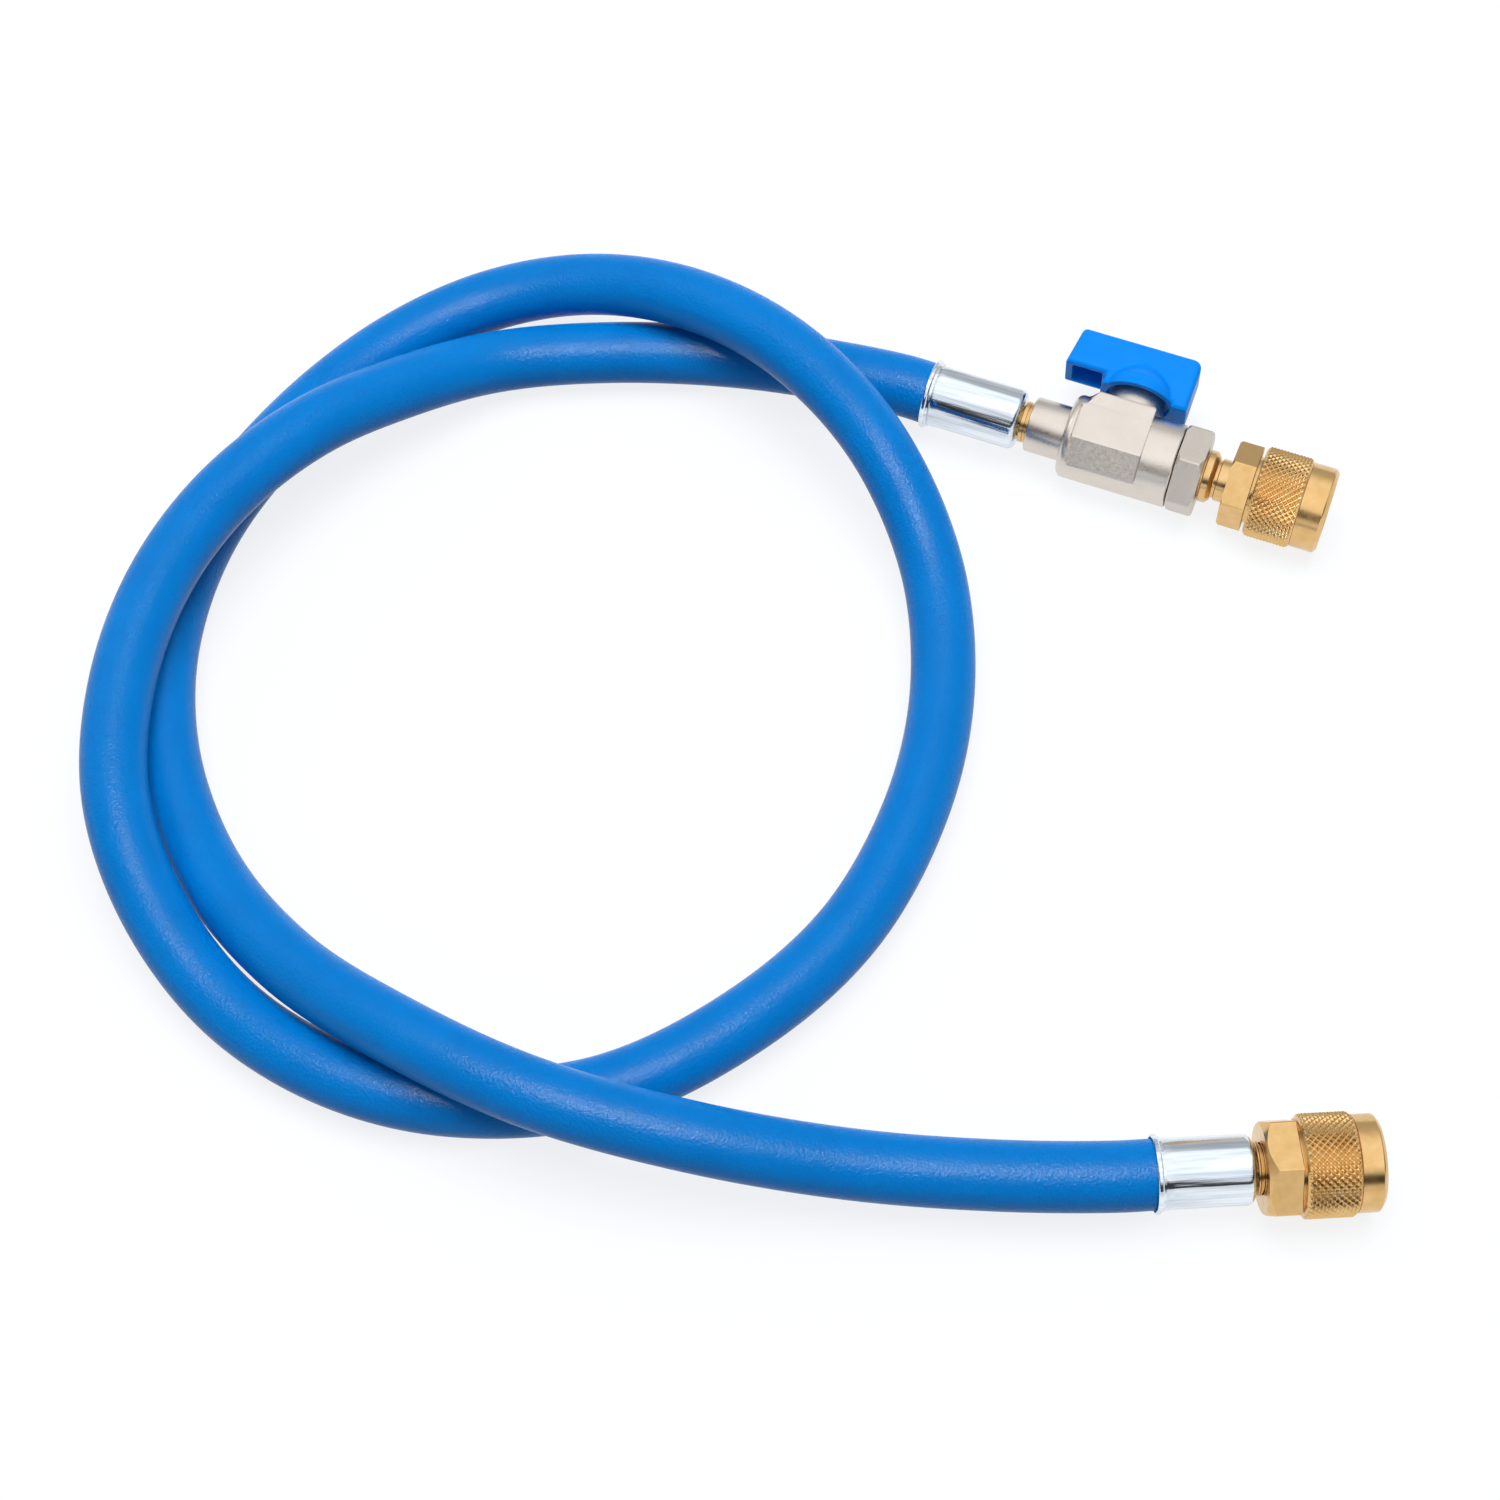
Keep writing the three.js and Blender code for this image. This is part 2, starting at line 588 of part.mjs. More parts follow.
// The hose: its free length in full width, and the squeezed end inside each ferrule with the tailpiece's hole.
function squeezedEnd(frame, length) {
  const to = length - FERRULE_END_WALL - GAP;
  const plug = rod(-STRAIGHT / 2, to, FERRULE_BORE / 2 - GAP);
  const hole = rod(TAIL_START - GAP, to + 1, tailRadius + GAP);
  return plug.subtract(hole).transform(frame.matrix.elements);
}

function along(frame, x) {
  return new THREE.Vector3(x, 0, 0).applyMatrix4(frame.matrix);
}

const route = [
  along(valveEnd, HOSE_INSET),
  along(valveEnd, -STRAIGHT),
  ...ROUTE.map((point) => new THREE.Vector3(...point)),
  along(hoseEnd, -STRAIGHT),
  along(hoseEnd, HOSE_INSET),
];
const section = new THREE.Shape();
for (let i = 0; i < HOSE_SIDES; i += 1) {
  const angle = ((i + 0.5) / HOSE_SIDES) * 2 * Math.PI;
  const x = hoseRadius * Math.cos(angle);
  const y = hoseRadius * Math.sin(angle);
  if (i) section.lineTo(x, y);
  else section.moveTo(x, y);
}
section.closePath();
const line = new THREE.CatmullRomCurve3(route, false, "centripetal");
line.arcLengthDivisions = 2000;
const tube = solid(new THREE.ExtrudeGeometry(section, { steps: HOSE_STEPS, extrudePath: line }));
const ends = squeezedEnd(valveEnd, VALVE_FERRULE_LENGTH).add(squeezedEnd(hoseEnd, HOSE_FERRULE_LENGTH));
piece(part, "hose", tube.add(ends), RUBBER);

export default part;
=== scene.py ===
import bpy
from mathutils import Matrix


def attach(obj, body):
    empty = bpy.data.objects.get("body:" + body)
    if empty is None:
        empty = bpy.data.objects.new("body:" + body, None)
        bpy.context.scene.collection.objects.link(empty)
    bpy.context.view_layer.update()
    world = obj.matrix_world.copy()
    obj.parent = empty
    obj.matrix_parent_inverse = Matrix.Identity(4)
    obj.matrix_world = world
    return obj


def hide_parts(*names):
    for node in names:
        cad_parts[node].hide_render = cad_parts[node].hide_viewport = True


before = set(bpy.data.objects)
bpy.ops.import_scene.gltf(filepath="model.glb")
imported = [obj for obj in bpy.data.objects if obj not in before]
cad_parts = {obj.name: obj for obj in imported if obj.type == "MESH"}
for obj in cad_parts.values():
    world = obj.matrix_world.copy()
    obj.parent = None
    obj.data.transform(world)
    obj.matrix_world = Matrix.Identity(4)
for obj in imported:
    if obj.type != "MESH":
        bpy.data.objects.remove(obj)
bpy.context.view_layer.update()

# Camera, table and light. The hose lies on a white table and is seen from sixty degrees above it, through
# a long lens. A wide soft box hangs overhead. A dark strip across the front of the bright room gives the
# plated parts their bands; the edge light catches only the rubber, and the front card only the valve end.
import math

import bpy
from mathutils import Matrix, Vector

MM = 0.001
scene = bpy.context.scene
camera = bpy.data.objects.new("camera", bpy.data.cameras.new("camera"))
scene.collection.objects.link(camera)
camera.location = Vector((-75.6, -274.1, 483.0)) * MM
camera.rotation_euler = (math.radians(30), 0, 0)
camera.data.lens = 69.6
camera.data.sensor_width = 36
camera.data.clip_start = 0.01
scene.camera = camera
scene.view_settings.view_transform = "Standard"


def linear(colour):
    """An sRGB hex colour as linear red, green, blue and alpha."""
    channels = [int(colour[i : i + 2], 16) / 255 for i in (1, 3, 5)]
    return [c / 12.92 if c <= 0.04045 else ((c + 0.055) / 1.055) ** 2.4 for c in channels] + [1]


def add(tree, kind, settings=(), **inputs):
    """Adds a node. Settings are its attributes; each input is a value or another node's output."""
    made = tree.nodes.new(kind)
    for key, value in dict(settings).items():
        setattr(made, key, value)
    for key, value in inputs.items():
        socket = made.inputs[int(key[1:]) if key[0] == "i" and key[1:].isdigit() else key.replace("_", " ")]
        if isinstance(value, bpy.types.NodeSocket):
            tree.links.new(value, socket)
        else:
            socket.default_value = value
    return made


TABLE_WHITE = "#f4f5f6"
TABLE_GREY = "#707376"
TABLE_GLOW = 0.9
TABLE_BOUNCE = 0.2
half_table = 4.0
table_mesh = bpy.data.meshes.new("table")
corners = [(-half_table, -half_table, 0), (half_table, -half_table, 0)]
corners += [(half_table, half_table, 0), (-half_table, half_table, 0)]
table_mesh.from_pydata(corners, [], [(0, 1, 2, 3)])
table = bpy.data.objects.new("table", table_mesh)
scene.collection.objects.link(table)
table_paper = bpy.data.materials.new("white background paper")
table_paper.use_nodes = True
paper = table_paper.node_tree.nodes["Principled BSDF"]
paper.inputs["Base Color"].default_value = linear(TABLE_GREY)
paper.inputs["Roughness"].default_value = 0.9
paper.inputs["Emission Color"].default_value = linear(TABLE_WHITE)
soft = add(table_paper.node_tree, "ShaderNodeLightPath").outputs["Is Diffuse Ray"]
glow = add(table_paper.node_tree, "ShaderNodeMix", i0=soft, i2=TABLE_GLOW, i3=TABLE_BOUNCE)
table_paper.node_tree.links.new(glow.outputs[0], paper.inputs["Emission Strength"])
table_mesh.materials.append(table_paper)

ROOM_FRONT = [(0.0, 1.0), (0.25, 0.95), (0.32, 0.04), (0.6, 0.05), (0.7, 1.0), (0.85, 1.45)]
ROOM_BACK = [(0.0, 0.55), (0.5, 0.7), (0.8, 1.35)]
ROOM_FILL = 0.34
room = bpy.data.worlds.new("studio")
scene.world = room
room.use_nodes = True
air = room.node_tree
air.nodes.clear()
way = add(air, "ShaderNodeTexCoord").outputs["Generated"]
split = add(air, "ShaderNodeSeparateXYZ", Vector=way)
levels = []
for steps in (ROOM_FRONT, ROOM_BACK):
    ramp = add(air, "ShaderNodeValToRGB", Fac=split.outputs["Z"])
    while len(ramp.color_ramp.elements) < len(steps):
        ramp.color_ramp.elements.new(1)
    for stop, (place, bright) in zip(ramp.color_ramp.elements, steps):
        stop.position = place
        stop.color = (bright, bright, bright, 1)
    levels.append(ramp.outputs["Color"])
behind = add(air, "ShaderNodeMapRange", i0=split.outputs["Y"], i1=-0.4, i2=0.2, i3=0.0, i4=1.0)
level = add(air, "ShaderNodeMix", i0=behind.outputs[0], i2=levels[0], i3=levels[1])
seen = add(air, "ShaderNodeLightPath")
filled = add(air, "ShaderNodeMix", i0=seen.outputs["Is Diffuse Ray"], i2=level.outputs[0], i3=ROOM_FILL)
shown = add(air, "ShaderNodeMix", i0=seen.outputs["Is Camera Ray"], i2=filled.outputs[0], i3=0.92)
sky = add(air, "ShaderNodeBackground", Strength=shown.outputs[0])
sky.inputs["Color"].default_value = linear("#f6f8fb")
add(air, "ShaderNodeOutputWorld", Surface=sky.outputs[0])

LAMPS = [
    ("overhead softbox", (-0.05, 0.1, 1.1), (-0.05, 0.0, 0.0), 0.8, 11.0),
    ("window side", (-0.9, 0.5, 0.7), (-0.05, 0.0, 0.0), 0.5, 1.0),
    ("edge light", (-0.1, -0.25, 0.95), (-0.07, 0.0, 0.0), 0.1, 20.0),
    ("front card", (0.15, -0.75, 0.5), (0.0, 0.07, 0.0), 0.6, 3.4),
]
for name, place, aim, width, power in LAMPS:
    lamp = bpy.data.lights.new(name, "AREA")
    lamp.size = width
    lamp.energy = power
    holder = bpy.data.objects.new(name, lamp)
    scene.collection.objects.link(holder)
    holder.location = place
    holder.visible_glossy = name != "overhead softbox"
    holder.visible_diffuse = name not in ("edge light", "front card")
    holder.rotation_euler = (Vector(aim) - Vector(place)).to_track_quat("-Z", "Y").to_euler()

# Hose: rubber cover over a braid, extruded with a fine pebbled skin, lying in one loose turn and a half.
# It runs from the valve's ferrule round to the plain end, over and under itself, as it was laid down.
HOSE_DIAMETER = 12.5
HOSE_SIDES = 48
HOSE_STEP = 2.0
AXIS_HEIGHT = 9.2
VALVE_MOUTH = (-39.19, 83.08)
VALVE_TURN = -20.5
VALVE_ROLL = 11
HOSE_END_MOUTH = (-5.59, -85.82)
HOSE_END_TURN = 3.3
STRAIGHT = 7
HOSE_INSET = 1.1
ROUTE = [
    (-74, 93.5, 6.8),
    (-103, 95.5, 6.6),
    (-127.5, 92.5, 7.4),
    (-146.5, 81, 13.4),
    (-163, 67.5, 18.4),
    (-178, 50.5, 19.9),
    (-188.5, 30, 19.8),
    (-193.5, 7.5, 18),
    (-192.5, -14.5, 15.4),
    (-184.5, -34.5, 10.8),
    (-170, -52.5, 7),
    (-151, -65, 6.6),
    (-129, -71, 6.6),
    (-102.5, -69, 6.6),
    (-77.5, -56, 6.6),
    (-57.5, -37, 6.6),
    (-44, -10.5, 6.6),
    (-38.5, 16.5, 6.7),
    (-40.5, 42, 10.4),
    (-51, 64, 19.4),
    (-68, 84.5, 22),
    (-88, 99.5, 19.2),
    (-109, 107.5, 13.8),
    (-130, 107, 8.8),
    (-150, 96.5, 6.7),
    (-169, 76, 6.6),
    (-183, 51, 6.6),
    (-188.5, 24.5, 6.6),
    (-186, -0.5, 6.6),
    (-176, -24.5, 7),
    (-159, -46, 12),
    (-137.5, -62.5, 17.9),
    (-114, -74.5, 19.2),
    (-86.5, -81.5, 16.2),
    (-58.5, -84.5, 10.8),
    (-32.5, -86, 9.2),
]


def fitting(mouth, turn, roll):
    """The frame of a fitting: X out along its axis from the ferrule's mouth, Y the valve stem's way."""
    place = Matrix.Translation(Vector((mouth[0], mouth[1], AXIS_HEIGHT)) * MM)
    return place @ Matrix.Rotation(math.radians(turn), 4, "Z") @ Matrix.Rotation(math.radians(roll), 4, "X")


valve_end = fitting(VALVE_MOUTH, VALVE_TURN, VALVE_ROLL)
hose_end = fitting(HOSE_END_MOUTH, HOSE_END_TURN, 0)


def smooth_line(points, pieces=24):
    """A centripetal Catmull-Rom line through the points, as a close row of points."""
    ends = [points[0] * 2 - points[1], points[-1] * 2 - points[-2]]
    p = [ends[0]] + points + [ends[1]]
    line = []
    for i in range(1, len(p) - 2):
        gaps = [max((p[i + k] - p[i + k - 1]).length ** 0.5, 1e-6) for k in range(3)]
        slopes = [(p[i + k] - p[i + k - 1]) / gaps[k] for k in range(3)]
        t1 = slopes[0] - (p[i + 1] - p[i - 1]) / (gaps[0] + gaps[1]) + slopes[1]
        t2 = slopes[1] - (p[i + 2] - p[i]) / (gaps[1] + gaps[2]) + slopes[2]
        t1 *= gaps[1]
        t2 *= gaps[1]
        for k in range(pieces):
            s = k / pieces
            a = p[i] * (2 * s**3 - 3 * s**2 + 1) + p[i + 1] * (3 * s**2 - 2 * s**3)
            line.append(a + t1 * (s**3 - 2 * s**2 + s) + t2 * (s**3 - s**2))
    line.append(p[-2].copy())
    return line


def even_line(points, step):
    """The same line with its points one step apart."""
    lengths = [0.0]
    for a, b in zip(points, points[1:]):
        lengths.append(lengths[-1] + (b - a).length)
    count = round(lengths[-1] / step)
    line = []
    j = 0
    for i in range(count + 1):
        want = lengths[-1] * i / count
        while j < len(points) - 2 and lengths[j + 1] < want:
            j += 1
        share = (want - lengths[j]) / (lengths[j + 1] - lengths[j])
        line.append(points[j].lerp(points[j + 1], share))
    return line


OWN_AXES = "own axes"


def shell(name, rings, looks, closed=False, matrix=None, smooth=40):
    """A mesh from rings of points in metres. Its ends are capped, or it closes on itself."""
    sides = len(rings[0])
    points = [p for ring in rings for p in ring]
    rows = len(rings) if closed else len(rings) - 1
    faces = []
    for i in range(rows):
        a, b = i * sides, (i + 1) % len(rings) * sides
        faces += [(a + j, a + (j + 1) % sides, b + (j + 1) % sides, b + j) for j in range(sides)]
    if not closed:
        faces.append(tuple(reversed(range(sides))))
        faces.append(tuple(range((len(rings) - 1) * sides, len(rings) * sides)))
    mesh = bpy.data.meshes.new(name)
    mesh.from_pydata(points, [], faces)
    own = mesh.attributes.new(OWN_AXES, "FLOAT_VECTOR", "POINT")
    own.data.foreach_set("vector", [c for p in points for c in p])
    mesh.shade_smooth()
    mesh.set_sharp_from_angle(angle=math.radians(smooth))
    for look in looks:
        mesh.materials.append(look)
    piece = bpy.data.objects.new(name, mesh)
    scene.collection.objects.link(piece)
    if matrix is not None:
        mesh.transform(matrix)
    return piece


def material(name, colour, roughness, metallic=0.0):
    """A new material, its nodes and its shader."""
    made = bpy.data.materials.new(name)
    made.use_nodes = True
    tree = made.node_tree
    shader = tree.nodes["Principled BSDF"]
    shader.inputs["Base Color"].default_value = linear(colour)
    shader.inputs["Roughness"].default_value = roughness
    shader.inputs["Metallic"].default_value = metallic
    return made, tree, shader


# EPDM rubber, extruded: saturated blue, with a pebbled skin that breaks its soft highlight into specks.
HOSE_BLUE = "#0075c4"
HOSE_BLUE_DEEP = "#0069b4"
PEBBLE_MM = 0.55
rubber, tree, shader = material("EPDM rubber, pebbled", HOSE_BLUE, 0.24)
shader.inputs["Specular IOR Level"].default_value = 0.08
where = add(tree, "ShaderNodeTexCoord").outputs["Object"]
pebbles = add(
    tree, "ShaderNodeTexNoise", Vector=where, Scale=1 / (PEBBLE_MM * MM), Detail=3.0, Roughness=0.6
)
dents = add(tree, "ShaderNodeBump", Strength=1.0, Distance=0.16 * MM, Height=pebbles.outputs["Fac"])
cloud = add(tree, "ShaderNodeTexNoise", Vector=where, Scale=1 / (14 * MM), Detail=2.0)
tint = add(tree, "ShaderNodeMix", {"data_type": "RGBA"}, i0=cloud.outputs["Fac"])
tint.inputs[6].default_value = linear(HOSE_BLUE)
tint.inputs[7].default_value = linear(HOSE_BLUE_DEEP)
tree.links.new(tint.outputs[2], shader.inputs["Base Color"])
tree.links.new(dents.outputs[0], shader.inputs["Normal"])

route = [valve_end @ Vector((x * MM, 0, 0)) for x in (HOSE_INSET, -STRAIGHT)]
route += [Vector(point) * MM for point in ROUTE]
route += [hose_end @ Vector((x * MM, 0, 0)) for x in (-STRAIGHT, HOSE_INSET)]
line = even_line(smooth_line(route), HOSE_STEP * MM)
rings = []
side = Vector((0, 0, 1))
for i, point in enumerate(line):
    ahead = (line[min(i + 1, len(line) - 1)] - line[max(i - 1, 0)]).normalized()
    side = (side - ahead * side.dot(ahead)).normalized()
    across = ahead.cross(side)
    turns = [2 * math.pi * j / HOSE_SIDES for j in range(HOSE_SIDES)]
    radius = HOSE_DIAMETER / 2 * MM
    rings.append([point + (side * math.cos(t) + across * math.sin(t)) * radius for t in turns])
hose = shell("hose_cover", rings, [rubber])
glazed = bpy.data.collections.new("rubber that the edge light catches")
glazed.objects.link(hose)
bpy.data.objects["edge light"].light_linking.receiver_collection = glazed
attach(hose, "hose_assembly")
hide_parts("hose")

# Crimp ferrules: drawn steel sleeves, bright zinc plated. The mouth has a rolled rim, and the dies of the
# crimping press left twelve shallow flats round the sleeve, which draw thin dark lines along it.
RIM_RADIUS = 7.0
RIM_LENGTH = 0.9
FERRULE_RADIUS = 6.3
FERRULE_BORE = 5.5
FERRULE_HOLE = 3.2
FERRULE_SHOULDER = 1.6
VALVE_FERRULE_LENGTH = 19.6
HOSE_FERRULE_LENGTH = 17.4
CRIMP_FLATS = 12
CRIMP_SIDES = 144


def ring(count, start, x, radius):
    """A ring of points about the X axis. x and radius, in mm, are numbers or functions of the angle."""
    points = []
    for j in range(count):
        t = start + 2 * math.pi * j / count
        r = radius(t) if callable(radius) else radius
        along = x(t) if callable(x) else x
        points.append(Vector((along, -math.sin(t) * r, math.cos(t) * r)) * MM)
    return points


def turned(name, profile, look, matrix, count=96, start=0.0, smooth=30):
    """A turned piece: its profile of (x, radius) runs up the outside and back down the bore."""
    rings = [ring(count, start, x, r) for x, r in profile]
    return shell(name, rings, [look], True, matrix, smooth)


# Bright zinc plate, drawn and crimped: a cold grey mirror with dull streaks along the sleeve.
STREAK_MM = 1.1
zinc, tree, shader = material("zinc plated steel, crimped", "#dbe3ea", 0.15, 1.0)
own = add(tree, "ShaderNodeAttribute", {"attribute_name": OWN_AXES}).outputs["Vector"]
stretch = add(tree, "ShaderNodeMapping", Vector=own, Scale=(0.06, 1, 1))
wear = add(
    tree,
    "ShaderNodeTexNoise",
    Vector=stretch.outputs[0],
    Scale=1 / (STREAK_MM * MM),
    Detail=3.0,
    Roughness=0.55,
)
rough = add(tree, "ShaderNodeMapRange", i0=wear.outputs["Fac"], i1=0.3, i2=0.75, i3=0.1, i4=0.24)
waves = add(tree, "ShaderNodeBump", Strength=0.5, Distance=0.12 * MM, Height=wear.outputs["Fac"])
streak = add(tree, "ShaderNodeMapRange", i0=wear.outputs["Fac"], i1=0.35, i2=0.6, i3=0.0, i4=1.0)
tint = add(tree, "ShaderNodeMix", {"data_type": "RGBA"}, i0=streak.outputs[0])
tint.inputs[6].default_value = linear("#c6cfd8")
tint.inputs[7].default_value = linear("#e8eef3")
tree.links.new(tint.outputs[2], shader.inputs["Base Color"])
tree.links.new(rough.outputs[0], shader.inputs["Roughness"])
tree.links.new(waves.outputs[0], shader.inputs["Normal"])


def crimped(t):
    """Radius of the crimped sleeve at an angle: flats whose corners are rounded."""
    width = 2 * math.pi / CRIMP_FLATS
    off = (t + width / 2) % width - width / 2
    flat = FERRULE_RADIUS * math.cos(width / 2) / math.cos(off)
    return min(flat * 0.55 + (FERRULE_RADIUS - 0.1) * 0.45, FERRULE_RADIUS - 0.05)


def ferrule(name, length, matrix, node):
    round_end = [(math.radians(a), FERRULE_SHOULDER) for a in (0, 15, 30, 45, 60, 75, 90)]
    rim = [(0, 6.6), (0, 6.85), (0.12, 6.97), (0.25, RIM_RADIUS), (RIM_LENGTH - 0.2, RIM_RADIUS)]
    rim += [(RIM_LENGTH, 6.85), (RIM_LENGTH + 0.15, FERRULE_RADIUS - 0.15), (1.25, FERRULE_RADIUS - 0.2)]
    rim += [(1.6, FERRULE_RADIUS - 0.08), (2.2, FERRULE_RADIUS)]
    rings = [ring(CRIMP_SIDES, 0, x, r) for x, r in rim]
    rings.append(ring(CRIMP_SIDES, 0, 3.2, crimped))
    rings.append(ring(CRIMP_SIDES, 0, length - 3.2, crimped))
    for angle, radius in round_end:
        x = length - radius * (1 - math.sin(angle))
        r = FERRULE_RADIUS - radius * (1 - math.cos(angle))
        rings.append(ring(CRIMP_SIDES, 0, x, lambda t, r=r: min(r, crimped(t))))
    inner = [(length, FERRULE_HOLE), (length - 2, FERRULE_HOLE)]
    inner += [(length - 2, FERRULE_BORE), (1.4, FERRULE_BORE)]
    rings += [ring(CRIMP_SIDES, 0, x, r) for x, r in inner]
    rings.append(ring(CRIMP_SIDES, 0, 1.4, 6.6))
    piece = shell(name, rings, [zinc], True, matrix, 35)
    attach(piece, "hose_assembly")
    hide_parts(node)
    return piece


ferrule("valve_ferrule_crimped", VALVE_FERRULE_LENGTH, valve_end, "valve_end_ferrule")
end_ferrule = ferrule("hose_ferrule_crimped", HOSE_FERRULE_LENGTH, hose_end, "hose_end_ferrule")

# Tailpieces: turned brass barbs under the ferrules. Only their necks show, and the plain end's neck has two
# ridges. Both have a bore right through.
FLOW_RADIUS = 1.9
TAIL_RADIUS = 2.9
TAIL_START = 4.5
NECK_RADIUS = 4.2
GAP = 0.3
BRASS_PITCH_MM = 0.35
# Brass, turned: warm and bright, with fine lathe lines round it and a faint tarnish.
brass, tree, shader = material("brass, turned bright", "#e0c094", 0.2, 1.0)
where = add(tree, "ShaderNodeTexCoord").outputs["Object"]
own = add(tree, "ShaderNodeAttribute", {"attribute_name": OWN_AXES}).outputs["Vector"]
lines = add(tree, "ShaderNodeMapping", Vector=own, Scale=(1, 0.02, 0.02))
cut = add(tree, "ShaderNodeTexNoise", Vector=lines.outputs[0], Scale=1 / (BRASS_PITCH_MM * MM), Detail=2.0)
tarnish = add(tree, "ShaderNodeTexNoise", Vector=where, Scale=1 / (3 * MM), Detail=4.0)
rough = add(tree, "ShaderNodeMapRange", i0=tarnish.outputs["Fac"], i1=0.3, i2=0.7, i3=0.16, i4=0.3)
marks = add(tree, "ShaderNodeBump", Strength=0.08, Distance=0.03 * MM, Height=cut.outputs["Fac"])
tint = add(tree, "ShaderNodeMix", {"data_type": "RGBA"}, i0=tarnish.outputs["Fac"])
tint.inputs[6].default_value = linear("#e6c592")
tint.inputs[7].default_value = linear("#d2a768")
tree.links.new(tint.outputs[2], shader.inputs["Base Color"])
tree.links.new(rough.outputs[0], shader.inputs["Roughness"])
tree.links.new(marks.outputs[0], shader.inputs["Normal"])


def barb(name, neck, body, node, matrix):
    profile = [(TAIL_START, FLOW_RADIUS), (TAIL_START, TAIL_RADIUS - 0.4), (TAIL_START + 0.6, TAIL_RADIUS)]
    profile += neck + [(neck[-1][0], FLOW_RADIUS)]
    piece = turned(name, profile, brass, matrix)
    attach(piece, body)
    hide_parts(node)


neck_from = VALVE_FERRULE_LENGTH + GAP
barb(
    "valve_tailpiece_turned",
    [
        (neck_from, TAIL_RADIUS),
        (neck_from, NECK_RADIUS - 0.2),
        (neck_from + 0.2, NECK_RADIUS),
        (neck_from + 0.9, NECK_RADIUS),
        (neck_from + 1.0, NECK_RADIUS - 0.25),
        (neck_from + 1.2, NECK_RADIUS - 0.25),
        (neck_from + 1.3, NECK_RADIUS),
        (25.3, NECK_RADIUS),
    ],
    "hose_assembly",
    "valve_end_tailpiece",
    valve_end,
)
ridge_from = HOSE_FERRULE_LENGTH + GAP
COUPLER_NECK = 4.3
HEAD_RADIUS = 5.1
HEAD_LENGTH = 3.4
BACK_WALL = 4.4
hose_back = ridge_from + 1.2
head_from = hose_back + BACK_WALL + GAP
barb(
    "hose_tailpiece_turned",
    [
        (ridge_from, TAIL_RADIUS),
        (ridge_from, 4.6),
        (ridge_from + 0.12, 4.8),
        (ridge_from + 0.3, 4.8),
        (ridge_from + 0.42, 4.55),
        (ridge_from + 0.54, 4.8),
        (ridge_from + 0.75, 4.8),
        (ridge_from + 0.9, COUPLER_NECK),
        (head_from, COUPLER_NECK),
        (head_from, HEAD_RADIUS),
        (head_from + HEAD_LENGTH, HEAD_RADIUS),
    ],
    "hose_assembly",
    "hose_end_tailpiece",
    hose_end,
)

# Valve body: forged brass under satin nickel plate. Its ends are turned smooth; between them are two
# flats and the block under the bonnet, and the lower flat keeps the grain of the forging.
VALVE_START = 21.6
REAR_RADIUS = 5.6
SHOULDER_AT = 29.2
SHOULDER_RADIUS = 1.4
BODY_RADIUS = 8.5
BODY_END = 52.0
FLATS_FROM = 31.0
FLATS_TO = 45.2
FLAT = 7.5
BLOCK_TOP = 7.6
STEM_AT = 40.4
BONNET_RADIUS = 5.7
BONNET_TOP = 12.2
BODY_SIDES = 180
SOCKET_RADIUS = 4.5
CHAMBER_RADIUS = 5.5
GRAIN_MM = 0.6
MOTTLE_MM = 0.9


def nickel_plate(name, colours, spread, strength, grain, mottle=5):
    made, tree, shader = material(name, colours[0], 0.3, 1.0)
    where = add(tree, "ShaderNodeTexCoord").outputs["Object"]
    fine = add(tree, "ShaderNodeTexNoise", Vector=where, Scale=1 / (grain * MM), Detail=4.0, Roughness=0.65)
    patch = add(tree, "ShaderNodeTexNoise", Vector=where, Scale=1 / (mottle * MM), Detail=3.0)
    low, high = spread
    rough = add(tree, "ShaderNodeMapRange", i0=fine.outputs["Fac"], i1=0.3, i2=0.7, i3=low, i4=high)
    tint = add(tree, "ShaderNodeMix", {"data_type": "RGBA"}, i0=patch.outputs["Fac"])
    tint.inputs[6].default_value = linear(colours[0])
    tint.inputs[7].default_value = linear(colours[1])
    bump = add(tree, "ShaderNodeBump", Strength=strength, Distance=0.08 * MM, Height=fine.outputs["Fac"])
    tree.links.new(tint.outputs[2], shader.inputs["Base Color"])
    tree.links.new(rough.outputs[0], shader.inputs["Roughness"])
    tree.links.new(bump.outputs[0], shader.inputs["Normal"])
    return made


# Nickel plate, satin: a warm pale grey, soft where it is turned and mottled over the forged grain.
nickel = nickel_plate("nickel plate, satin", ("#ddd4ca", "#d0c6bb"), (0.26, 0.36), 0.15, 0.5)
forged = nickel_plate(
    "nickel plate over forged grain", ("#ded6cc", "#a89e92"), (0.35, 0.6), 1.0, GRAIN_MM, MOTTLE_MM
)


def body_section(t):
    """Radius of the forged middle at an angle from the top, towards the side away from the stem."""
    radius = BODY_RADIUS
    for facing in (0, math.radians(45), math.pi):
        lean = math.cos(t - facing)
        if lean > 0.1:
            radius = min(radius, (FLAT + (0.3 if 0 < facing < 1 else 0)) / lean)
    stem_side, top = -math.sin(t), abs(math.cos(t))
    if stem_side > 0:
        radius = max(radius, min(BLOCK_TOP / max(stem_side, 1e-6), FLAT / max(top, 1e-6)))
    return radius


def corner_inset(t):
    return max(0.0, body_section(t) - 8.0) * 0.55


